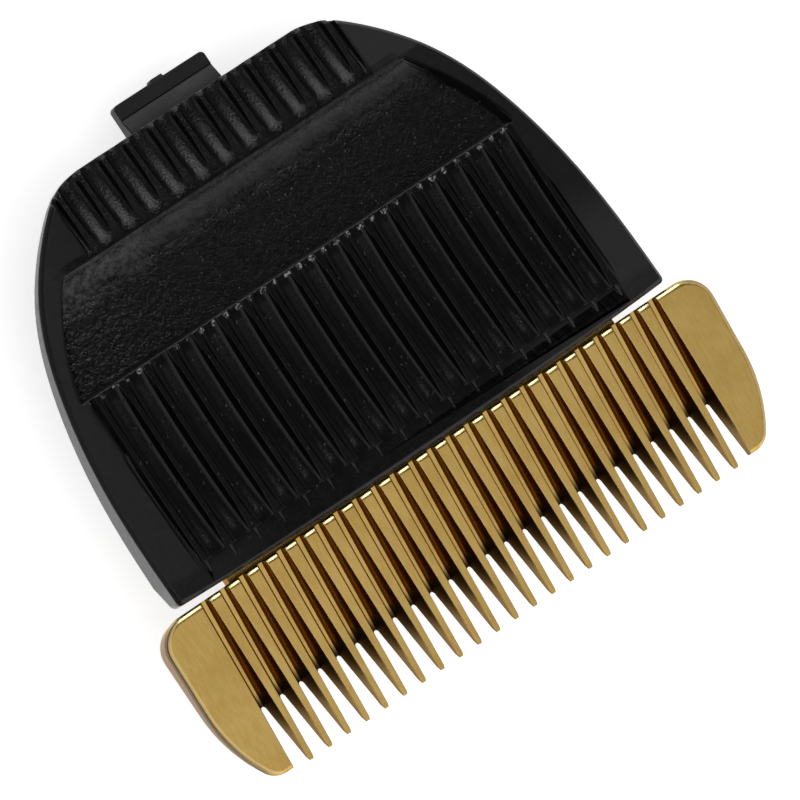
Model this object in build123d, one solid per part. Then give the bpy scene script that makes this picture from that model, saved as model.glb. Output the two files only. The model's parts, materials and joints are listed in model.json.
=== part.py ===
from build123d import *
from math import asin, degrees, radians, sqrt, tan
import os

# Hair clipper blade set: a fixed toothed blade, a moving blade behind it, and their moulded holder.
# Sizes are in millimetres. X runs along the row of teeth, +Y from the teeth to the mounting hook and
# +Z out of the ribbed front. While modelling, y = 0 is the back edge of the toothed head and z = 0 is
# the cutting plane, where the moving blade slides on the fixed one.

# Toothed head of the fixed blade
tooth_pitch = 1.6
tooth_count = 24
ear_width = 4.22             # from the centre of the last groove to the side of the head
ear_straight = 6.5           # straight part of an ear's side, from the back edge
ear_taper = 2.0              # how far an ear's side leans in at its tip
ear_corner_radius = 2.2
ear_tip_radius = 1.8
head_edge_radius = 0.4       # polished rounding of the head's outer top edge
head_draft = 4.8             # angle at which the head's sides lean in towards the underside
head_length = 13.05
head_back_height = 2.88
head_tip_height = 0.5
groove_back_depth = 0.54
groove_through = 8.3         # distance from the back edge where a groove breaks through the underside
groove_floor_back = 0.40
groove_floor_tip = 0.24
groove_flank_angle = 16.0
tooth_tip_width = 0.2        # blunt end of a tooth
tooth_nose_width = 0.42      # where a tooth's end facets start
tooth_nose_length = 0.4

# Tang of the fixed blade and its screws
tang_overhang = 0.6          # how far the tang reaches past the frame's sides
tang_length = 13.75
tang_root = 1.0              # how far the tang runs into the head
tang_thickness = 1.15
screw_inset = 1.8            # from the side of the frame to a screw
screw_y = 5.6
screw_shank_radius = 0.8
screw_head_radius = 1.55
screw_length = 5.6
screw_drive_width = 0.42
screw_drive_length = 1.9
screw_drive_depth = 0.4
fit_gap = 0.03               # radial clearance of shafts, pegs and screws

# Front cover
cover_half_width = 20.85
cover_length = 28.52
cover_gap = 0.05             # from the head's back edge to the middle of the cover's lower edge
cover_bow = 0.43             # how far the ends of the lower edge lie above its middle
cover_front = 2.92           # height of the face at its lower edge
cover_fall = 4.0             # angle at which the face falls from there to the hook
cover_skirt = 0.3            # how far the cover's walls reach below the cutting plane
cover_corner_radius = 0.4
cover_rim = 0.3              # slanting edge round the face
dome_shape = [(0.988, 0.299), (0.920, 0.579), (0.798, 0.790), (0.612, 0.946)]
dome_top_share = 0.41        # half width of the top edge's flat stretch, as a share of the half width
lip_length = 2.4             # slanting underside behind the lower edge
crest_height = 3.0           # level of the lower ribs' crests
band_height = 1.67           # smooth band along the lower edge
scoop_length = 7.78
scoop_depth = 1.7            # from the crests to the scoop's floor under the ledge
scoop_half_width = 18.4      # at the ledge
scoop_top_half_width = 14.5
scoop_bow = 0.55             # how far the scoop's sides bow out
scoop_top_run = 1.9          # length of the rounded wall at the scoop's top
scoop_top_drop = 0.75        # height of that wall
rib_pitch = 2.07
rib_width = 0.4
rib_point = 1.2              # length of a rib's point on the band
lower_rib_count = 18
lower_groove_depth = 1.0
edge_groove = 0.4            # width of the groove beside the last lower rib
upper_rib_count = 12
upper_band_length = 5.8      # from the scoop's top edge to the top of the dome
upper_groove_start = 0.35    # smooth lip between the scoop and the upper grooves
upper_groove_depth = 0.6
upper_half_width = 12.0
groove_corner = 0.55         # size of the facets along a groove's bottom corners
groove_corner_share = 0.45   # most of a groove's width that one of those facets may take
groove_overrun = 1.3         # how far a groove's cut runs on past the face, as a share of its length

# Rear frame and mounting hook
frame_depth = 7.0
frame_half_width = 16.0
frame_front = 1.4
frame_waist = 11.0           # where the frame's sides start to lean in
frame_shoulder_half_width = 14.0
frame_shoulder = 20.5
frame_back_half_width = 8.5
frame_back = 26.8
frame_corner_radius = 2.0
window_half_width = 12.4
window_waist = 18.2          # where the window narrows beside the lever's tail
window_tail_half_width = 8.7
window_back = 24.0
deck_gap = 0.1
latch_y = 8.4
latch_width = 4.0
latch_depth = 0.6
latch_height = 1.6
hook_half_width = 3.85
hook_reach = 2.55            # how far the hook stands out past the cover
hook_top = 2.0               # depth of the hook's end below the cutting plane
hook_thickness = 1.3
hook_edge_radius = 0.35
hook_land = 1.1              # level end of the hook
hook_ramp_rise = 0.55        # how much higher the ramp behind it starts
hook_step = 0.1              # how deep the ramp ends below the land
hook_nub = 0.2
hook_nub_half_width = 0.5
peg_x = 11.3
peg_y = 20.6
peg_radius = 1.2
peg_length = 3.0
claw_y = 4.0
claw_width = 5.0
claw_wall = 0.9
claw_barb = 0.5
claw_drop = 0.9

# Moving blade
moving_pitch = 2.0
moving_tooth_count = 20
moving_reach = 8.15          # from the head's back edge to the moving teeth's tips
moving_thickness = 0.9
moving_comb_back = 0.9
moving_gullet = 4.2
moving_gap_tip = 1.2
moving_gap_root = 0.7
moving_comb_margin = 0.7
shank_half_width = 10.9
shank_back = 9.0
relief_depth = 0.25
relief_front = 2.6
relief_back = 7.0

# Drive block
block_half_width = 3.9
block_front = 0.8
block_back = 12.2
block_depth = 6.2
slot_half_width = 2.2
slot_end_wall = 1.1
slot_roof = 0.8
stake_x = 2.9
stake_y = 4.9
stake_radius = 0.7
tongue_reach = 8.6
tongue_front = 3.6
tongue_back = 8.6
tongue_top = 2.4
tongue_thickness = 1.2
guide_gap = 0.08
stroke = 1.2

# Cleaning lever and its shaft
arm_inner = 6.2
arm_outer = 11.6
arm_front = 2.0
arm_bottom = 4.4
hub_front = 13.3
hub_back = 17.7
hub_radius = 1.0
pivot_y = 15.5
pivot_depth = 2.5
shaft_radius = 1.0
shaft_half_length = 13.9
shaft_seat = 0.2             # end play between the shaft and the bottom of its slot
length_travel = 2.0
tail_half_width = 5.0
tail_back = 23.0
tail_top = 1.8
tail_bottom = 3.4
tail_rib_count = 3
tail_rib_pitch = 1.4
tail_rib_width = 0.6
tail_rib_height = 0.4
tail_rib_start = 19.4

# Pressure spring
wire_radius = 0.35
wire_x = 7.7
wire_front = 3.4
wire_back = 23.2
wire_bend_radius = 1.6
wire_gap = 0.03
shelf_front = 18.4
shelf_width = 1.2
shelf_thickness = 0.9
keeper_half_width = 2.6
keeper_thickness = 0.7

# Places and limits that several pieces share
rounding_share = 0.8         # most of an edge's height or corner that its rounding may take
head_half_width = tooth_count / 2 * tooth_pitch + ear_width
head_slope = (head_back_height - head_tip_height) / head_length
cover_corner = cover_gap + cover_bow
cover_top = cover_corner + cover_length
scoop_top = cover_top - upper_band_length
ledge = scoop_top - scoop_length
band_top = cover_corner + band_height
hook_end = cover_top + hook_reach
screw_x = frame_half_width - screw_inset
tang_half_width = frame_half_width + tang_overhang
deck_end = tang_length + deck_gap
wire_z = -(arm_bottom + wire_gap + wire_radius)


def side_prism(points, half_width):
    """A solid with the given side view in (y, z), centred on the middle of the blade."""
    return extrude(Plane.YZ * make_face(Polyline(points, close=True)), half_width, both=True)


def plan_prism(points, low, high):
    """A solid with the given front view in (x, y), between two heights."""
    return extrude(Pos(0, 0, low) * make_face(Polyline(points, close=True)), high - low)


def block(low_x, high_x, low_y, high_y, low_z, high_z):
    """A box between two corners."""
    centre = Pos((low_x + high_x) / 2, (low_y + high_y) / 2, (low_z + high_z) / 2)
    return centre * Box(high_x - low_x, high_y - low_y, high_z - low_z)


def upright(x, y, low, high, radius):
    """A round post between two heights."""
    return Pos(x, y, (low + high) / 2) * Cylinder(radius, high - low)


def mirrored(points):
    """The right half of an outline, from top to bottom, closed by its mirror image."""
    return points + [(-x, y) for x, y in reversed(points)]


def front_face(solid):
    """The face that looks most directly out of the front."""
    return max(solid.faces(), key=lambda face: face.normal_at().Z)


def head_height(y):
    """Height of the head's sloping top face."""
    return head_back_height + head_slope * y


def head_outline(inset):
    """Front view of the head before its grooves, drawn in by an inset: bowed ears with round corners."""
    side = head_half_width - inset
    front = inset - head_length
    tip_x = side - ear_taper
    with BuildSketch() as outline:
        with BuildLine():
            Line((0, -inset), (side, -inset))
            Line((side, -inset), (side, -ear_straight))
            TangentArc((side, -ear_straight), (tip_x, front), tangent=(0, -1))
            Line((tip_x, front), (0, front))
            mirror(about=Plane.YZ)
        make_face()
        for row, radius in ((-1, ear_corner_radius), (0, ear_tip_radius)):
            corners = outline.vertices().group_by(Axis.Y)[row]
            fillet([v for v in corners if abs(v.X) > tip_x / 2], radius - inset)
    return outline.sketch


def groove_cutter():
    """One ground groove: a slanting trough that narrows a little towards the tips."""
    floor_fall = (head_back_height - groove_back_depth) / groove_through
    flank = tan(radians(groove_flank_angle))
    top = head_height(tang_root) + groove_back_depth

    def section(y):
        share = -y / head_length
        half_floor = (groove_floor_back + (groove_floor_tip - groove_floor_back) * share) / 2
        floor = head_back_height - groove_back_depth + floor_fall * y
        half_top = half_floor + (top - floor) * flank
        return [(-half_floor, y, floor), (half_floor, y, floor), (half_top, y, top), (-half_top, y, top)]

    return ConvexPolyhedron(section(tang_root) + section(-head_length - tang_root))


def tip_gap():
    """Open gap between two teeth, which leaves them pointed: it widens from a groove's end to the tips."""
    share = groove_through / head_length
    half_floor = (groove_floor_back + (groove_floor_tip - groove_floor_back) * share) / 2
    nose = tooth_nose_length - head_length
    right = [(half_floor, -groove_through), ((tooth_pitch - tooth_nose_width) / 2, nose),
             ((tooth_pitch - tooth_tip_width) / 2, -head_length)]
    return plan_prism(mirrored(right), 0, head_back_height)


def make_stationary_blade():
    """Ground comb plate: sloping head with teeth and ears, and a thin tang under the cover."""
    inset = head_back_height * tan(radians(head_draft))
    body = loft([head_outline(inset), Pos(0, 0, head_back_height) * head_outline(0)], ruled=True)
    slope = side_prism([(tang_root, 0), (tang_root, head_height(tang_root)),
                        (-head_length, head_tip_height), (-head_length, 0)], head_half_width)
    body &= slope
    radius = min(head_edge_radius, rounding_share * head_tip_height)
    head = fillet(front_face(body).edges(), radius)

    last_groove = tooth_count / 2 * tooth_pitch
    teeth = block(-last_groove, last_groove, -head_length, -tang_root, 0, head_back_height)
    head += teeth & slope
    groove = groove_cutter()
    head -= [Pos(i * tooth_pitch - last_groove, 0, 0) * groove for i in range(tooth_count + 1)]

    gap = tip_gap()
    head -= [Pos(i * tooth_pitch - last_groove, 0, 0) * gap for i in range(1, tooth_count)]
    ear_gap = gap & block(0, tooth_pitch, -head_length, 0, 0, head_back_height)
    head -= [Pos(-last_groove, 0, 0) * ear_gap, Pos(last_groove, 0, 0) * mirror(ear_gap, about=Plane.YZ)]

    tang = block(-tang_half_width, tang_half_width, -tang_root, tang_length, 0, tang_thickness)
    blade = head + tang
    for side in (-1, 1):
        blade -= Pos(side * screw_x, screw_y, 0) * screw_shape(fit_gap, tang_thickness)
    return blade


def screw_shape(gap, length):
    """Countersunk screw with its head flush with the tang, grown by a clearance, down to a depth."""
    radius = screw_shank_radius + gap
    cone_height = screw_head_radius - screw_shank_radius
    cone = Pos(0, 0, tang_thickness - cone_height / 2) * Cone(radius, screw_head_radius + gap, cone_height)
    return cone + upright(0, 0, tang_thickness - length, tang_thickness - cone_height, radius)


def make_blade_screws():
    """Pair of countersunk screws with a cross recess."""
    screw = screw_shape(0, screw_length)
    top = tang_thickness
    low = top - screw_drive_depth
    half = screw_drive_width / 2
    reach = screw_drive_length / 2
    screw -= block(-half, half, -reach, reach, low, top)
    screw -= block(-reach, reach, -half, half, low, top)
    return [Pos(side * screw_x, screw_y, 0) * screw for side in (-1, 1)]


def cover_outline():
    """Front view of the cover: bowed lower edge, nearly straight sides and a full dome."""
    corner = (cover_half_width, cover_corner)
    dome = [corner]
    dome += [(u * cover_half_width, cover_corner + v * cover_length) for u, v in dome_shape]
    dome += [(dome_top_share * cover_half_width, cover_top)]
    with BuildSketch() as outline:
        with BuildLine():
            ThreePointArc((-cover_half_width, cover_corner), (0, cover_gap), corner)
            Spline(*dome, tangents=[(0, 1), (-1, 0)])
            Line(dome[-1], (0, cover_top))
            mirror(about=Plane.YZ)
        make_face()
        fillet(outline.vertices().group_by(Axis.X)[0] + outline.vertices().group_by(Axis.X)[-1],
               cover_corner_radius)
    return outline.sketch


def bent_grooves(places, width, lowest, floor_z, run, rise):
    """Troughs side by side, each bent in a circle about an axis along X above its lowest point."""
    radius = (run * run + rise * rise) / (2 * rise)
    corner = min(groove_corner, groove_corner_share * width)
    half = width / 2
    slant = corner * (1 - sqrt(0.5))
    right = [(half, rise + cover_front), (half, corner), (half - slant, slant), (half - corner, 0)]
    trough = Plane.XZ * make_face(Polyline(mirrored(right), close=True))
    half_sweep = groove_overrun * degrees(asin(run / radius))
    bent = revolve(trough, Axis((0, 0, radius), (1, 0, 0)), 2 * half_sweep)
    bent = Pos(0, 0, radius) * Rot(-half_sweep, 0, 0) * Pos(0, 0, -radius) * bent
    return [Pos(x, lowest, floor_z) * bent for x in places]


def face_height(y):
    """Height of the cover's falling face."""
    return cover_front - (y - cover_gap) * tan(radians(cover_fall))


def rib_places(count):
    """Middles of a row of ribs."""
    return [(i - (count - 1) / 2) * rib_pitch for i in range(count)]


def make_cover_body():
    """The cover without ribs: falling face with a slanting rim, and a recess for the tang."""
    beyond = cover_top + cover_front
    depth = cover_front + cover_skirt
    body = extrude(Pos(0, 0, -cover_skirt) * cover_outline(), depth)
    body &= side_prism([(cover_gap, -cover_skirt), (cover_gap, cover_front),
                        (beyond, face_height(beyond)), (beyond, -cover_skirt)], cover_half_width)
    body = chamfer(front_face(body).edges(), min(cover_rim, rounding_share * cover_corner_radius))
    inner = tang_half_width + fit_gap
    body -= block(-inner, inner, 0, deck_end, -cover_skirt, tang_thickness)
    return body - side_prism([(cover_gap, -cover_skirt), (cover_gap, tang_thickness),
                              (cover_gap + lip_length, -cover_skirt)], cover_half_width)


def make_rib_panel(places):
    """Level panel that the lower ribs are cut from, with a falling point in front of each rib."""
    side = places[-1] + rib_width / 2
    panel = block(-side, side, band_top, ledge, tang_thickness, crest_height)
    tip = band_top - rib_point
    half = rib_width / 2
    points = [plan_prism([(x - half, band_top), (x, tip), (x + half, band_top)], tang_thickness, crest_height)
              for x in places]
    above = crest_height + cover_front
    fall = side_prism([(band_top, crest_height), (tip, face_height(tip)), (tip, above),
                       (band_top, above)], side)
    return [panel] + [point - fall for point in points]


def make_scoop():
    """Hollow behind the ledge: a slanting floor that ends in a rounded wall at its top."""
    wall_top = face_height(scoop_top)
    floor_low = crest_height - scoop_depth
    above = crest_height + cover_front
    foot = (scoop_top - scoop_top_run, wall_top - scoop_top_drop)
    with BuildSketch(Plane.YZ) as side:
        with BuildLine():
            Line((ledge, above), (ledge, floor_low))
            Line((ledge, floor_low), foot)
            TangentArc(foot, (scoop_top, wall_top), tangent=(foot[0] - ledge, foot[1] - floor_low))
            Line((scoop_top, wall_top), (scoop_top, above))
            Line((scoop_top, above), (ledge, above))
        make_face()
    bow = ((scoop_half_width + scoop_top_half_width) / 2 + scoop_bow, (ledge + scoop_top) / 2)
    with BuildSketch() as front:
        with BuildLine():
            Line((0, ledge), (scoop_half_width, ledge))
            ThreePointArc((scoop_half_width, ledge), bow, (scoop_top_half_width, scoop_top))
            Line((scoop_top_half_width, scoop_top), (0, scoop_top))
            mirror(about=Plane.YZ)
        make_face()
    return extrude(side.sketch, scoop_half_width, both=True) & extrude(front.sketch, above)


def make_front_cover():
    """Moulded cover: ribbed lower panel, thumb scoop behind a straight ledge, ribbed dome edge."""
    lower_ribs = rib_places(lower_rib_count)
    cover = make_cover_body() + make_rib_panel(lower_ribs)
    cover -= make_scoop()

    wide = rib_pitch - rib_width
    lower_gaps = [x + rib_pitch / 2 for x in lower_ribs[:-1]]
    middle = (band_top + ledge) / 2
    run = (ledge - band_top) / 2
    floor = crest_height - lower_groove_depth
    rise = face_height(band_top) - floor
    cover -= bent_grooves(lower_gaps, wide, middle, floor, run, rise)
    beside = lower_ribs[-1] + (rib_width + edge_groove) / 2
    cover -= bent_grooves([-beside, beside], edge_groove, middle, floor, run, rise)

    upper_ribs = rib_places(upper_rib_count)
    upper_gaps = [x + rib_pitch / 2 for x in upper_ribs[:-1]]
    run = upper_band_length - upper_groove_start
    floor = face_height(cover_top) - upper_groove_depth
    rise = face_height(scoop_top + upper_groove_start) - floor
    cover -= bent_grooves(upper_gaps, wide, cover_top, floor, run, rise)
    last_gap = upper_half_width - (upper_ribs[-1] + rib_width / 2)
    beside = upper_half_width - last_gap / 2
    cover -= bent_grooves([-beside, beside], last_gap, cover_top, floor, run, rise)

    for side in (-1, 1):
        cover += upright(side * peg_x, peg_y, -cover_skirt - peg_length, -cover_skirt, peg_radius)
        cover += cover_claw(side)
    return cover


def cover_claw(side):
    """Snap claw under the cover that grips the edge of the tang."""
    inner = tang_half_width + fit_gap
    low = -claw_drop
    claw = block(inner, inner + claw_wall, claw_y, claw_y + claw_width, low, tang_thickness)
    claw += block(inner - claw_barb, inner, claw_y, claw_y + claw_width, low, -fit_gap)
    return claw if side > 0 else mirror(claw, about=Plane.YZ)


def make_rear_frame():
    """Open carrier: two rails joined behind the lever, with shaft slots, spring seats and the hook."""
    outline = mirrored([(frame_back_half_width, frame_back), (frame_shoulder_half_width, frame_shoulder),
                        (frame_half_width, frame_waist), (frame_half_width, frame_front)])
    plan = make_face(Polyline(outline, close=True))
    plan = fillet([v for v in plan.vertices() if v.Y > frame_front + fit_gap], frame_corner_radius)
    frame = extrude(Pos(0, 0, -frame_depth) * plan, frame_depth)
    frame -= block(-frame_half_width, frame_half_width, deck_end, frame_back, -cover_skirt, 0)
    window = mirrored([(window_tail_half_width, window_back), (window_tail_half_width, window_waist),
                       (window_half_width, window_waist), (window_half_width, 0)])
    frame -= plan_prism(window, -frame_depth, 0)

    slot_radius = shaft_radius + fit_gap
    slot_end = shaft_half_length + shaft_seat
    slot = block(-slot_end, slot_end, pivot_y - length_travel, pivot_y,
                 -pivot_depth - slot_radius, slot_radius - pivot_depth)
    for y in (pivot_y - length_travel, pivot_y):
        slot += Pos(0, y, -pivot_depth) * Rot(0, 90, 0) * Cylinder(slot_radius, 2 * slot_end)
    frame -= slot

    for side in (-1, 1):
        frame -= Pos(side * screw_x, screw_y, 0) * screw_shape(fit_gap, screw_length + fit_gap)
        frame -= upright(side * peg_x, peg_y, -cover_skirt - peg_length - fit_gap, 0, peg_radius + fit_gap)
        low_x, high_x = sorted((side * frame_half_width, side * (frame_half_width - latch_depth)))
        middle = -frame_depth / 2
        frame -= block(low_x, high_x, latch_y, latch_y + latch_width,
                       middle - latch_height / 2, middle + latch_height / 2)
        inner = wire_x - wire_radius
        low_x, high_x = sorted((side * inner, side * window_tail_half_width))
        shelf_top = wire_z - wire_radius
        frame += block(low_x, high_x, shelf_front, shelf_front + shelf_width,
                       shelf_top - shelf_thickness, shelf_top)

    keeper_low = wire_z + wire_radius
    frame += block(-keeper_half_width, keeper_half_width, wire_back - wire_radius, window_back,
                   keeper_low, keeper_low + keeper_thickness)
    return frame + make_hook()


def make_hook():
    """Tab past the cover's top edge: a ramp, a level land behind a step, and a small nub on its end."""
    end = hook_end - hook_nub
    step = end - hook_land
    low = -hook_top - hook_thickness
    ramp_low = -hook_top - hook_step
    ramp_high = ramp_low + hook_ramp_rise
    tab = side_prism([(window_back, low), (end, low), (end, -hook_top), (step, -hook_top),
                      (step, ramp_low), (cover_top, ramp_high), (window_back, ramp_high)], hook_half_width)
    end_corners = tab.edges().filter_by(Axis.Z).group_by(Axis.Y)[-1]
    tab = fillet(end_corners, hook_edge_radius)
    return tab + block(-hook_nub_half_width, hook_nub_half_width, end, hook_end, low, ramp_low)


def make_moving_blade():
    """Flat comb under the head, with a narrower shank that the drive block is staked to."""
    comb_half = (moving_tooth_count - 1) / 2 * moving_pitch + moving_comb_margin
    comb = block(-comb_half, comb_half, -moving_reach, -moving_comb_back, -moving_thickness, 0)
    shank = block(-shank_half_width, shank_half_width, -moving_comb_back, shank_back, -moving_thickness, 0)
    blade = comb + shank
    root = moving_gullet - moving_reach
    tip = -moving_reach
    gap = make_face(Polyline([(-moving_gap_tip / 2, tip), (moving_gap_tip / 2, tip),
                              (moving_gap_root / 2, root), (-moving_gap_root / 2, root)], close=True))
    gap += Pos(0, root, 0) * Circle(moving_gap_root / 2)
    gullet = extrude(Pos(0, 0, -moving_thickness) * gap, moving_thickness)
    first = (moving_tooth_count - 2) / 2 * moving_pitch
    blade -= [Pos(i * moving_pitch - first, 0, 0) * gullet for i in range(moving_tooth_count - 1)]
    blade -= block(-comb_half, comb_half, -relief_front, relief_back, -relief_depth, 0)
    for side in (-1, 1):
        blade -= upright(side * stake_x, stake_y, -moving_thickness, 0, stake_radius + fit_gap)
    return blade


def make_drive_block():
    """Moulded block under the moving blade: drive slot in its back, tongues that run in the lever."""
    low = -block_depth
    top = -moving_thickness
    body = block(-block_half_width, block_half_width, block_front, block_back, low, top)
    body += block(-tongue_reach, tongue_reach, tongue_front, tongue_back,
                  -tongue_top - tongue_thickness, -tongue_top)
    slot_front = block_front + slot_end_wall + slot_half_width
    slot_back = block_back - slot_end_wall - slot_half_width
    slot = block(-slot_half_width, slot_half_width, slot_front, slot_back, low, top - slot_roof)
    slot += upright(0, slot_front, low, top - slot_roof, slot_half_width)
    slot += upright(0, slot_back, low, top - slot_roof, slot_half_width)
    body -= slot
    for side in (-1, 1):
        body += upright(side * stake_x, stake_y, top, -relief_depth - guide_gap, stake_radius)
    return body


def make_cleaning_lever():
    """Forked rocker: two arms under the moving blade, a hub on the shaft and a ribbed tail."""
    top = -moving_thickness
    low = -arm_bottom
    lever = block(-arm_outer, arm_outer, hub_front, hub_back, low, top)
    hub_edges = lever.edges().filter_by(Axis.X).sort_by(Axis.Y)[-2:]
    lever = fillet(hub_edges, hub_radius)
    for side in (-1, 1):
        low_x, high_x = sorted((side * arm_inner, side * arm_outer))
        lever += block(low_x, high_x, arm_front, hub_front, low, top)
        end = tongue_reach + stroke + guide_gap
        low_x, high_x = sorted((side * arm_inner, side * end))
        lever -= block(low_x, high_x, tongue_front - guide_gap, tongue_back + guide_gap,
                       -tongue_top - tongue_thickness - guide_gap, guide_gap - tongue_top)
    lever += block(-tail_half_width, tail_half_width, pivot_y, tail_back, -tail_bottom, -tail_top)
    for i in range(tail_rib_count):
        y = tail_rib_start + i * tail_rib_pitch
        lever += block(-tail_half_width, tail_half_width, y, y + tail_rib_width,
                       -tail_bottom - tail_rib_height, -tail_bottom)
    bore = Rot(0, 90, 0) * Cylinder(shaft_radius + fit_gap, 2 * arm_outer)
    return lever - Pos(0, pivot_y, -pivot_depth) * bore


def make_pivot_shaft():
    """Plain steel shaft across the frame."""
    return Pos(0, pivot_y, -pivot_depth) * Rot(0, 90, 0) * Cylinder(shaft_radius, 2 * shaft_half_length)


def make_pressure_spring():
    """Bent wire: two arms under the lever, joined behind its tail."""
    path = FilletPolyline((-wire_x, wire_front, wire_z), (-wire_x, wire_back, wire_z),
                          (wire_x, wire_back, wire_z), (wire_x, wire_front, wire_z), radius=wire_bend_radius)
    section = Plane(origin=path @ 0, z_dir=path % 0) * Circle(wire_radius)
    return sweep(section, path)


pieces = {
    "stationary_blade": make_stationary_blade(),
    "blade_screws": make_blade_screws(),
    "front_cover": make_front_cover(),
    "rear_frame": make_rear_frame(),
    "moving_blade": make_moving_blade(),
    "drive_block": make_drive_block(),
    "cleaning_lever": make_cleaning_lever(),
    "pivot_shaft": make_pivot_shaft(),
    "pressure_spring": make_pressure_spring(),
}

# The finished frame has its origin under the middle of the blade set, on the surface it lies on.
to_frame = Pos(0, (head_length - hook_end) / 2, frame_depth)
os.makedirs("parts", exist_ok=True)
for name, piece in pieces.items():
    solids = piece if isinstance(piece, list) else [piece]
    moved = [to_frame * s for solid in solids for s in solid.solids()]
    export_step(Compound(moved) if len(moved) > 1 else moved[0], f"parts/{name}.step")
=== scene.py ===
import json
from math import pi, radians

import bmesh
import bpy
from mathutils import Matrix, Vector

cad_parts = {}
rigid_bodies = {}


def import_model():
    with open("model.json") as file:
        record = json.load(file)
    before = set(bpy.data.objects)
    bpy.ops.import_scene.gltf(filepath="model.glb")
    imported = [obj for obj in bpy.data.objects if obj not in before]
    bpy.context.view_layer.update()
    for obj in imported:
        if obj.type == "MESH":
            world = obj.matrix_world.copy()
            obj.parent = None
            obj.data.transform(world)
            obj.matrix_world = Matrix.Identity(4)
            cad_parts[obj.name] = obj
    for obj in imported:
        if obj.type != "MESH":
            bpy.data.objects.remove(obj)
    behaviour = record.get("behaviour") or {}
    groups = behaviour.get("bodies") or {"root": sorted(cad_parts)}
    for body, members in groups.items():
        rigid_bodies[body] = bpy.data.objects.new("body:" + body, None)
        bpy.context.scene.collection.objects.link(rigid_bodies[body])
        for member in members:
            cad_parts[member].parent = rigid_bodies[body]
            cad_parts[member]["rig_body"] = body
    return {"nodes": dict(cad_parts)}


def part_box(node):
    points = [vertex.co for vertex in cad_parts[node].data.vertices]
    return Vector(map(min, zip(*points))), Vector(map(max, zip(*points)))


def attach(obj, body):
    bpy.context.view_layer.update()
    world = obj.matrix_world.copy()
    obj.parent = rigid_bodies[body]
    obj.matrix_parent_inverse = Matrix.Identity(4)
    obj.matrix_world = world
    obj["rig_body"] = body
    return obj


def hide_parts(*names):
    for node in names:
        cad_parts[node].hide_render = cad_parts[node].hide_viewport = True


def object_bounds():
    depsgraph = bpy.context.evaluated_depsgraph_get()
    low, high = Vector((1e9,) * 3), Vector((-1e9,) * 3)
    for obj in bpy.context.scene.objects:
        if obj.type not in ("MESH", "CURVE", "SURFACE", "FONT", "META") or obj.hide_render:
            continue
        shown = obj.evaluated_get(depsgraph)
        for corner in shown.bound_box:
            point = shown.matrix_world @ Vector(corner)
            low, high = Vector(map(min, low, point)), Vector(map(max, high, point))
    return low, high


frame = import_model()
cad_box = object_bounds()


# Rear frame: the black carrier behind the blades, with the hook that snaps into the clipper.
# It is moulded in one piece from matt glass-filled plastic, and everything else is fitted to it.
MM = 0.001
sharp = radians(30)


def weigh_edges(mesh, edge, foot):
    """Marks each sharp edge with its rounding. The feet of grooves have their own, where there is room."""
    least_room = 0.06 * MM
    nearly_level = 0.9
    form = bmesh.new()
    form.from_mesh(mesh)
    weight = form.edges.layers.float.new("bevel_weight_edge")
    for line in form.edges:
        if not line.is_manifold or line.calc_face_angle() < sharp:
            continue
        on_floor = max(face.normal.z for face in line.link_faces) > nearly_level
        room = min(face.calc_area() for face in line.link_faces) / line.calc_length()
        if line.is_convex or not on_floor:
            line[weight] = edge / max(edge, foot)
        elif room > least_room:
            line[weight] = foot / max(edge, foot)
    form.to_mesh(mesh)
    form.free()


def dressed_copy(node, edge, foot=None):
    """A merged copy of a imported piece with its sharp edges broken, which stands in for that piece."""
    merge_gap = 0.0005 * MM
    flat_within = radians(0.4)
    foot = edge if foot is None else foot
    bpy.ops.object.select_all(action="DESELECT")
    source = frame["nodes"][node]
    copy = source.copy()
    copy.data = source.data.copy()
    copy.name = node + "_dressed"
    copy.data.name = copy.name
    copy.parent = None
    bpy.context.scene.collection.objects.link(copy)
    copy.select_set(True)
    bpy.context.view_layer.objects.active = copy
    bpy.ops.mesh.customdata_custom_splitnormals_clear()
    bpy.ops.object.mode_set(mode="EDIT")
    bpy.ops.mesh.select_all(action="SELECT")
    bpy.ops.mesh.remove_doubles(threshold=merge_gap)
    bpy.ops.mesh.dissolve_limited(angle_limit=flat_within)
    bpy.ops.object.mode_set(mode="OBJECT")
    weigh_edges(copy.data, edge, foot)
    bevel = copy.modifiers.new("broken edges", "BEVEL")
    bevel.limit_method = "WEIGHT"
    bevel.width = max(edge, foot)
    bevel.segments = 3
    bevel.miter_outer = "MITER_ARC"
    bevel.use_clamp_overlap = False
    bpy.ops.object.modifier_apply(modifier=bevel.name)
    bpy.ops.object.shade_smooth_by_angle(angle=sharp)
    flat = copy.modifiers.new("flat faces stay flat", "WEIGHTED_NORMAL")
    flat.keep_sharp = True
    flat.weight = 100
    bpy.ops.object.modifier_apply(modifier=flat.name)
    body = source["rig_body"]
    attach(copy, body)
    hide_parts(node)
    return copy


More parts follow.
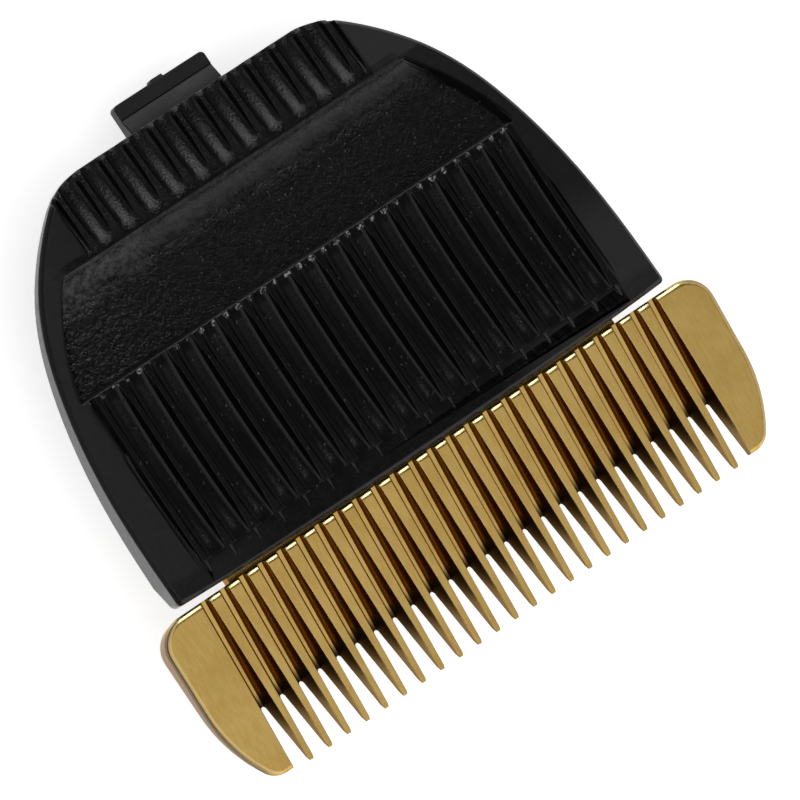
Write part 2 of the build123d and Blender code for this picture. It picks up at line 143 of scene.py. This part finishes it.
class Wire:
    """One output of a material's nodes. Arithmetic on it adds Math nodes."""

    def __init__(self, tree, socket=None):
        self.tree = tree
        self.socket = socket

    def node(self, kind, settings=None, sockets=None, output=0):
        """Adds a node: first its settings, then the values or links of its sockets."""
        made = self.tree.nodes.new(kind)
        for name, value in (settings or {}).items():
            setattr(made, name, value)
        for name, value in (sockets or {}).items():
            if isinstance(value, Wire):
                self.tree.links.new(value.socket, made.inputs[name])
            else:
                made.inputs[name].default_value = value
        return Wire(self.tree, made.outputs[output] if made.outputs else None)

    def math(self, operation, first, second=0.0):
        return self.node("ShaderNodeMath", {"operation": operation}, {0: first, 1: second})

    def noise(self, place, scale, detail, roughness=0.5):
        """Cloudy noise over a place in millimetres."""
        return self.node("ShaderNodeTexNoise", {},
                         {"Vector": place, "Scale": scale, "Detail": detail, "Roughness": roughness})

    def rise(self, low, high, curve="SMOOTHSTEP"):
        """0 below one value and 1 above another, with a smooth step or a straight line between them."""
        return self.node("ShaderNodeMapRange", {"interpolation_type": curve},
                         {"Value": self, "From Min": low, "From Max": high})

    def size(self):
        """The value without its sign."""
        return self.math("ABSOLUTE", self)

    def __add__(self, other):
        return self.math("ADD", self, other)

    def __radd__(self, other):
        return self.math("ADD", other, self)

    def __sub__(self, other):
        return self.math("SUBTRACT", self, other)

    def __rsub__(self, other):
        return self.math("SUBTRACT", other, self)

    def __mul__(self, other):
        return self.math("MULTIPLY", self, other)

    def __rmul__(self, other):
        return self.math("MULTIPLY", other, self)


def new_finish(name):
    """An empty material, its first wire and the place of a point on the piece, in millimetres."""
    material = bpy.data.materials.new(name)
    material.use_nodes = True
    material.node_tree.nodes.clear()
    start = Wire(material.node_tree)
    metres = start.node("ShaderNodeTexCoord", output="Object")
    place = start.node("ShaderNodeVectorMath", {"operation": "SCALE"}, {0: metres, "Scale": 1 / MM})
    return material, start, place


def along(place, axis):
    """One coordinate of a place."""
    return place.node("ShaderNodeSeparateXYZ", {}, {"Vector": place}, output=axis)


def blend(factor, first, second):
    """A colour between two others."""
    ends = [end if isinstance(end, Wire) else (*end, 1) for end in (first, second)]
    return factor.node("ShaderNodeMix", {"data_type": "RGBA"},
                       {"Factor": factor, "A": ends[0], "B": ends[1]}, output="Result")


def raised(height, strength, depth):
    """A surface whose relief follows a height, to a depth in metres."""
    return height.node("ShaderNodeBump", {}, {"Height": height, "Strength": strength, "Distance": depth})


def close_finish(start, constants, varying):
    """Ends a material in one Principled shader: plain numbers on its sockets, links where it varies."""
    shader = start.node("ShaderNodeBsdfPrincipled", {}, {**constants, **varying})
    start.node("ShaderNodeOutputMaterial", {}, {"Surface": shader})


def wear(piece, material):
    """Gives a piece its finish in one material slot."""
    piece.data.materials.clear()
    piece.data.materials.append(material)


plastic_gloss = {"IOR": 1.5, "Specular IOR Level": 0.25}


def moulded(name, dark, light, grain, gloss, depth):
    """Moulded plastic: a fine grain in the tool's surface, and cloudy changes of tone and gloss."""
    cloud_scale = 0.35
    grain_depth = 0.04 * MM
    material, start, place = new_finish(name)
    fine = start.noise(place, grain, 3.0)
    cloud = start.noise(place, cloud_scale, 4.0)
    rough = gloss + 0.16 * (cloud - 0.5) + 0.2 * (fine - 0.5)
    close_finish(start, plastic_gloss, {"Base Color": blend(cloud, dark, light), "Roughness": rough,
                                        "Normal": raised(fine, depth, grain_depth)})
    return material


frame_edge = 0.08 * MM
frame_black = (0.008, 0.008, 0.009)
frame_sheen = (0.016, 0.016, 0.017)
rear_frame = dressed_copy("rear_frame", frame_edge)
wear(rear_frame, moulded("frame_moulding", frame_black, frame_sheen, 7.0, 0.48, 0.25))


# Pivot shaft: a plain drawn steel pin that the cleaning lever turns on, cut to length.
# It lies loose in the frame's two slots and slides in them when the cut length is set.
def drawn_steel(name, tone, gloss):
    """Drawn steel: fine rings and lines left by the die, in a bright grey."""
    die_lines = (0.4, 6, 6)
    line_depth = 0.01 * MM
    material, start, place = new_finish(name)
    stretched = start.node("ShaderNodeVectorMath", {"operation": "MULTIPLY"}, {0: place, 1: die_lines})
    lines = start.noise(stretched, 2.0, 4.0)
    shadow = [0.8 * level for level in tone]
    close_finish(start, {"Metallic": 1.0},
                 {"Base Color": blend(lines, shadow, tone), "Roughness": gloss + 0.2 * (lines - 0.5),
                  "Normal": raised(lines, 0.2, line_depth)})
    return material


shaft_edge = 0.1 * MM
steel = drawn_steel("drawn_steel", (0.56, 0.56, 0.57), 0.28)
pivot_shaft = dressed_copy("pivot_shaft", shaft_edge)
wear(pivot_shaft, steel)


# Cleaning lever: the forked rocker behind the moving blade, moulded from dark grey plastic.
# A thumb presses its ribbed tail, and its arms then lift the blade off for cleaning.
lever_edge = 0.12 * MM
lever_grey = (0.036, 0.036, 0.04)
lever_sheen = (0.06, 0.06, 0.066)
cleaning_lever = dressed_copy("cleaning_lever", lever_edge)
wear(cleaning_lever, moulded("lever_moulding", lever_grey, lever_sheen, 6.0, 0.45, 0.25))


# Pressure spring: one length of bent steel wire, hooked on the frame behind the lever's tail.
# Its two arms press the lever, and with it the moving blade, against the fixed blade.
wire_edge = 0.03 * MM
pressure_spring = dressed_copy("pressure_spring", wire_edge)
wear(pressure_spring, steel)


# Drive block: the pale slippery moulding that the clipper's drive pin runs in.
# It is staked to the moving blade and slides in the cleaning lever on its two tongues.
block_edge = 0.12 * MM
block_cream = (0.52, 0.51, 0.47)
block_sheen = (0.66, 0.65, 0.6)
drive_block = dressed_copy("drive_block", block_edge)
wear(drive_block, moulded("drive_moulding", block_cream, block_sheen, 4.0, 0.4, 0.15))


# Moving blade: the flat comb that slides across under the fixed teeth and cuts against them.
# It is stamped from steel sheet, ground on its cutting face and coated nearly black.
grinding_depth = 0.006 * MM


def grinding(start, place, streak):
    """Marks left by the wheel along the teeth, and specks in the coating."""
    along_teeth = (1, 0.05, 1)
    stretched = start.node("ShaderNodeVectorMath", {"operation": "MULTIPLY"}, {0: place, 1: along_teeth})
    return start.noise(stretched, streak, 5.0), start.noise(place, 9.0, 2.0)


def dark_coating():
    """Nearly black steel: the grinding shows in its tone, gloss and height."""
    material, start, place = new_finish("dark_coating")
    marks, speck = grinding(start, place, 7.0)
    cloud = start.noise(place, 0.16, 2.0)
    share = (0.5 * marks + 0.3 * cloud + 0.2 * speck).rise(0.35, 0.65, "LINEAR")
    colour = blend(share, (0.03, 0.025, 0.022), (0.06, 0.05, 0.045))
    rough = 0.35 + 0.18 * (marks - 0.5) + 0.1 * (speck - 0.5)
    close_finish(start, {"Metallic": 1.0}, {"Base Color": colour, "Roughness": rough,
                                            "Normal": raised(marks, 0.25, grinding_depth)})
    return material


comb_edge = 0.03 * MM
moving_blade = dressed_copy("moving_blade", comb_edge)
wear(moving_blade, dark_coating())


# Stationary blade: the comb plate whose slanting grooves and pointed teeth guide the hair.
# It is ground from hardened steel, polished round its outer edge and coated satin gold.
head_length = 13.05
back_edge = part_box("stationary_blade")[0].y / MM + head_length
cutting_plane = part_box("stationary_blade")[0].z / MM


def gold_coating():
    """Satin gold: streaked lands, painted shade on the steep flanks and the ear walls, edges with a
    painted highlight on their left side and painted shade on their right, a painted highlight on the
    rounded back edge, and near-black painted shade where the grooves end.
    """
    land_back, land_slope = 2.88, 0.1824
    groove_end = 8.3
    last_groove = 19.2
    material, start, place = new_finish("gold_coating")
    marks, speck = grinding(start, place, 6.0)
    cloud = start.noise(place, 0.25, 2.0)
    behind = along(place, "Y") - back_edge
    depth = land_back + land_slope * behind - (along(place, "Z") - cutting_plane)
    lean = along(start.node("ShaderNodeTexCoord", output="Normal"), "X")
    steep = lean.size()
    flank = steep.rise(0.4, 0.8)
    cut = depth.rise(0.05, 0.2)
    edge = steep.rise(0.06, 0.2) * (1 - steep.rise(0.55, 0.75)) * (1 - cut)
    on_ear = along(place, "X").size().rise(last_groove + 0.5, last_groove + 1.2)
    ahead = -1 * behind
    past_end = ahead.rise(groove_end - 0.6, groove_end + 0.2)
    # Painted shade where the grooves end: the cut surfaces there turn near black in place of their shadow
    # and dark reflections.
    groove_end_shade_start = ahead.rise(groove_end - 1.2, groove_end - 0.1)
    groove_end_shade_stop = ahead.rise(groove_end + 0.1, groove_end + 3.2)
    groove_end_shade = cut * groove_end_shade_start * (1 - groove_end_shade_stop) * (1 - on_ear)
    # Painted highlight: the rounded back edge is made paler so that its reflection shows near white.
    back_edge_highlight = behind.rise(-0.42, -0.3) * (1 - depth.rise(0.3, 0.45))

    share = (0.5 * marks + 0.35 * cloud + 0.15 * speck).rise(0.36, 0.64)
    gold = blend(share, (0.43, 0.275, 0.075), (0.53, 0.36, 0.115))
    # Painted shade on the steep flanks of the grooves and teeth, darker past the groove ends, and a
    # grey-brown painted shade on the ear walls.
    flank_shade = blend(past_end, (0.36, 0.215, 0.045), (0.19, 0.125, 0.055))
    wall_shade = blend(on_ear, flank_shade, (0.16, 0.135, 0.1))
    flank_shaded_gold = blend(flank * cut, gold, wall_shade)
    # Painted shade: near black on the cut surfaces at the groove ends.
    end_shaded_gold = blend(0.92 * groove_end_shade, flank_shaded_gold, (0.03, 0.013, 0.006))
    # Painted highlight on the rounded edges that face left, painted shade on those that face right; lower
    # metallic and higher roughness there too.
    painted_light = blend(lean.rise(-0.05, 0.05) * (1 - on_ear), (0.8, 0.58, 0.24), (0.36, 0.24, 0.1))
    edge_lit_gold = blend(edge, end_shaded_gold, painted_light)
    # Painted highlight on the rounded back edge.
    colour = blend(back_edge_highlight, edge_lit_gold, (0.5, 0.42, 0.22))
    rough = 0.3 + 0.16 * (marks - 0.5) + 0.08 * (speck - 0.5) - 0.08 * cut + 0.3 * groove_end_shade + 0.15 * edge
    close_finish(start, {"Specular Tint": (0.82, 0.64, 0.5, 1)},
                 {"Base Color": colour, "Metallic": 1 - 0.5 * edge, "Roughness": rough,
                  "Normal": raised(marks, 0.25, grinding_depth)})
    return material


land_edge = 0.035 * MM
groove_foot = 0.08 * MM
stationary_blade = dressed_copy("stationary_blade", land_edge, groove_foot)
wear(stationary_blade, gold_coating())


# Blade screws: the two countersunk steel screws that hold the fixed blade's tang to the frame.
# They are cold headed with a cross recess, and the cover hides them.
screw_edge = 0.03 * MM
blade_screws = dressed_copy("blade_screws", screw_edge)
wear(blade_screws, steel)


# Front cover: the black moulding with ribs for grip and a scoop for the thumb.
# It snaps over the fixed blade's tang with two claws and pegs into the frame.
def cover_moulding():
    """Black plastic: mottled scoop with a painted sheen on its wall, grained ribs, rims a shade lighter at
    the sides, pale spots on the rib ends at the ledge and a painted highlight on those at the top edge.
    """
    band_top = back_edge + 2.15
    ledge = back_edge + 15.42
    crest = cutting_plane + 3.0
    groove_middle = back_edge + 8.785
    scoop_top = back_edge + 23.2
    scoop_side = 18.4
    scoop_taper = 3.9
    scoop_bow = 0.55
    rib_side = 17.8
    rib_pitch = 2.07
    rib_half_width = 0.2
    upper_side = 12.0
    arc_bend = 0.231
    relief_depth = 0.06 * MM
    material, start, place = new_finish("cover_moulding")
    across = along(place, "X")
    up = along(place, "Y")
    outward = across.size()
    fine = start.noise(place, 6.0, 3.0, 0.6)
    mottle = start.noise(place, 2.4, 3.0, 0.6)
    cloud = start.noise(place, 0.7, 4.0)
    chips = start.noise(place, 1.3, 2.0)
    facing = start.node("ShaderNodeTexCoord", output="Normal")
    side = 1 - along(facing, "Z").rise(0.2, 0.6)

    # Where the scoop, the ribs, the band and their shaded borders lie
    climb = up.rise(ledge, scoop_top, "LINEAR")
    from_border = outward - (scoop_side - scoop_taper * climb + 4 * scoop_bow * climb * (1 - climb))
    in_length = up.rise(ledge, ledge + 0.4) * (1 - up.rise(scoop_top - 0.1, scoop_top + 0.2))
    in_scoop = in_length * (1 - from_border.rise(-0.3, 0.0))
    scoop_wall = in_scoop * up.rise(scoop_top - 3.2, scoop_top - 1.2)
    on_dome = up.rise(scoop_top + 0.1, scoop_top + 0.4)
    upper_ribs = on_dome * (1 - (outward - upper_side).rise(-0.1, 0.3))
    above_band = up.rise(band_top - 0.6, band_top + 0.2)
    up_to_ledge = 1 - up.rise(ledge - 0.1, ledge + 0.1)
    lower_ribs = above_band * up_to_ledge * (1 - (outward - rib_side).rise(0.0, 0.3))
    worked = lower_ribs + in_scoop + upper_ribs
    near_side = 1 - (from_border + 0.1).size().rise(0.1, 0.4)
    near_top = 1 - (up - (scoop_top + 0.5)).size().rise(0.15, 0.4)
    shaded = near_side * in_length + 0.7 * near_top * (1 - from_border.rise(-0.8, 0.2))

    # Pale spots on the ends of the ribs at the ledge, a painted highlight on the rib ends at the dome's
    # top edge, grit, and rims a shade lighter at the sides
    from_bead = rib_pitch / 4 - start.math("PINGPONG", across, rib_pitch / 4)
    below = up - (ledge - 0.24)
    bead_size = 0.02 + 0.09 * chips
    bead = 1 - (from_bead * from_bead + below * below - bead_size).rise(-0.04, 0.0)
    bead_row = bead * chips.rise(0.38, 0.52) * (1 - (outward - rib_side).rise(0.0, 0.2))
    # Painted highlight: rib ends on the dome that face its top edge turn pale.
    top_edge_highlight = along(facing, "Y").rise(0.35, 0.6) * upper_ribs * (1 - from_bead.rise(0.1, 0.3))
    pale_spots_and_highlight = (bead_row + 0.6 * top_edge_highlight) * fine.rise(0.44, 0.6)
    cells = {"Vector": place, "Scale": 3.2}
    from_grit = start.node("ShaderNodeTexVoronoi", {}, cells, output="Distance")
    pick = start.node("ShaderNodeTexVoronoi", {}, cells, output="Color")
    grit = (1 - from_grit.rise(0.05, 0.36)) * along(pick, "X").rise(0.72, 0.9) * cloud.rise(0.44, 0.62)
    # A shade lighter on the right rim, on the dome and near the band, and half as much along the far left.
    right_rim = across.rise(6, 12) * (on_dome + 1 - up.rise(band_top + 3, band_top + 8))
    lighter_sides = (1 - worked) * (right_rim + 0.5 * (1 - across.rise(-18, -10)))

    # The lower grooves look flatter towards the ledge, and the scoop's wall gets a painted sheen,
    # strongest at its left end
    from_rib = start.math("PINGPONG", across - rib_pitch / 2, rib_pitch / 2)
    in_groove = from_rib.rise(rib_half_width - 0.03, rib_half_width)
    groove_floor = in_groove * (1 - (outward - rib_side).rise(-0.02, 0.02))
    below_ledge = (along(place, "Z") - crest).rise(-1.45, -1.15) * (1 - up.rise(ledge + 1, ledge + 2))
    flattened = up.rise(groove_middle, ledge, "LINEAR") * (ledge - groove_middle) * below_ledge
    leftmost = 1 - across.rise(-16, -4)
    # Painted sheen on the scoop's wall, strongest at the left.
    painted_light = scoop_wall * (0.25 + 0.75 * leftmost) * (mottle + 0.5 * cloud).rise(0.6, 0.95)

    black = blend(cloud, (0.0025, 0.0025, 0.003), (0.006, 0.006, 0.0065))
    # The rims are a shade lighter at the sides.
    sides_lightened = blend(lighter_sides, black, (0.022, 0.021, 0.021))
    dusty = blend(0.06 * worked * grit, sides_lightened, (0.25, 0.25, 0.26))
    # Painted sheen: a lighter grey where the scoop's wall is marked.
    scoop_sheened = blend(painted_light, dusty, (0.06, 0.06, 0.062))
    # Pale spots on the rib ends at the ledge, and the painted highlight on the rib ends at the top edge.
    colour = blend(pale_spots_and_highlight, scoop_sheened, (0.4, 0.4, 0.41))
    grain = fine * (0.2 + 0.4 * scoop_wall + 0.4 * upper_ribs) + worked * (1.2 - upper_ribs) * grit
    height = grain + in_scoop * (0.2 + 0.5 * leftmost + 0.4 * scoop_wall) * mottle + pale_spots_and_highlight
    settled = height - arc_bend * flattened * flattened * groove_floor
    even = 0.37 - 0.17 * worked - 0.1 * side - 0.24 * shaded - 0.12 * (1 - above_band)
    rough = even + 0.2 * (mottle - 0.5) + 0.14 * (fine - 0.5)
    close_finish(start, plastic_gloss, {"Base Color": colour, "Roughness": rough,
                                        "Normal": raised(settled, 1.0, relief_depth)})
    return material


cover_edge = 0.07 * MM
front_cover = dressed_copy("front_cover", cover_edge)
wear(front_cover, cover_moulding())


# Studio: a white table that keeps the blade's shadow, soft panels around a dark middle, and the
# long lens that looks down on the blade from its left.
floor_size = 4.0
paper_tone = 0.82
paper_glow = 0.72
air_light = 0.05
bpy.ops.object.select_all(action="DESELECT")
bpy.ops.mesh.primitive_plane_add(size=floor_size, location=(0, 0, cad_box[0][2]))
floor = bpy.context.object
floor.name = "table"
white_table = bpy.data.materials.new("white_table")
white_table.use_nodes = True
white_table.node_tree.nodes.clear()
start = Wire(white_table.node_tree)
seen = start.node("ShaderNodeLightPath", output="Is Camera Ray")
mirrored = start.node("ShaderNodeLightPath", output="Is Glossy Ray")
passed = start.node("ShaderNodeLightPath", output="Is Transmission Ray")
paper = start.node("ShaderNodeBsdfDiffuse", {}, {"Color": (paper_tone, paper_tone, paper_tone, 1)})
glow = start.node("ShaderNodeEmission", {},
                  {"Color": (1, 1, 1, 1), "Strength": paper_glow * (seen + mirrored + passed)})
both = start.node("ShaderNodeAddShader", {}, {0: paper, 1: glow})
start.node("ShaderNodeOutputMaterial", {}, {"Surface": both})
floor.data.materials.append(white_table)

scene = bpy.context.scene
scene.view_settings.view_transform = "Standard"
world = bpy.data.worlds.new("studio_air")
world.use_nodes = True
air = world.node_tree.nodes["Background"].inputs
air["Color"].default_value = (1, 1, 1, 1)
air["Strength"].default_value = air_light
scene.world = world


def panel(name, direction, distance, width, height, radiance):
    """A soft panel that faces the blade, with its brightness given as seen from there."""
    lamp = bpy.data.lights.new(name, "AREA")
    lamp.shape = "RECTANGLE"
    lamp.size = width
    lamp.size_y = height
    lamp.energy = radiance * pi * width * height
    holder = bpy.data.objects.new(name, lamp)
    scene.collection.objects.link(holder)
    towards = Vector(direction).normalized()
    holder.location = towards * distance
    holder.rotation_euler = towards.to_track_quat("Z", "Y").to_euler()
    return holder


panel_distance = 0.6
overhead_distance = 0.9
panel("front_panel", (0.02, -0.47, 0.84), panel_distance, 0.6, 0.5, 1.0)
panel("low_front_panel", (0.2, -0.93, 0.33), panel_distance, 0.6, 0.36, 1.8)
panel("left_panel", (-0.66, 0.03, 0.75), panel_distance, 0.4, 0.44, 0.9)
panel("right_card", (0.88, 0.0, 0.47), panel_distance, 0.5, 0.4, 0.2)
strip = panel("back_strip", (0.3, 0.71, 0.63), panel_distance, 0.22, 0.47, 5.5)
strip.visible_diffuse = False
overhead = panel("table_lamp", (0, 0, 1), overhead_distance, 0.8, 0.8, 1.0)
overhead.visible_glossy = False

lens_place = Vector((-158.81, 5.58 + back_edge, 514.65 + cutting_plane)) * MM
to_lens = Vector((-0.29657453, 0.00331665, 0.95500395))
picture_up = Vector((0.53225866, 0.83085793, 0.16240634))
picture_right = picture_up.cross(to_lens)
long_lens = bpy.data.cameras.new("long_lens")
long_lens.sensor_width = 36.0
long_lens.lens = 354.69
camera = bpy.data.objects.new("long_lens", long_lens)
scene.collection.objects.link(camera)
turn = Matrix((picture_right, picture_up, to_lens)).transposed()
camera.matrix_world = Matrix.Translation(lens_place) @ turn.to_4x4()
scene.camera = camera
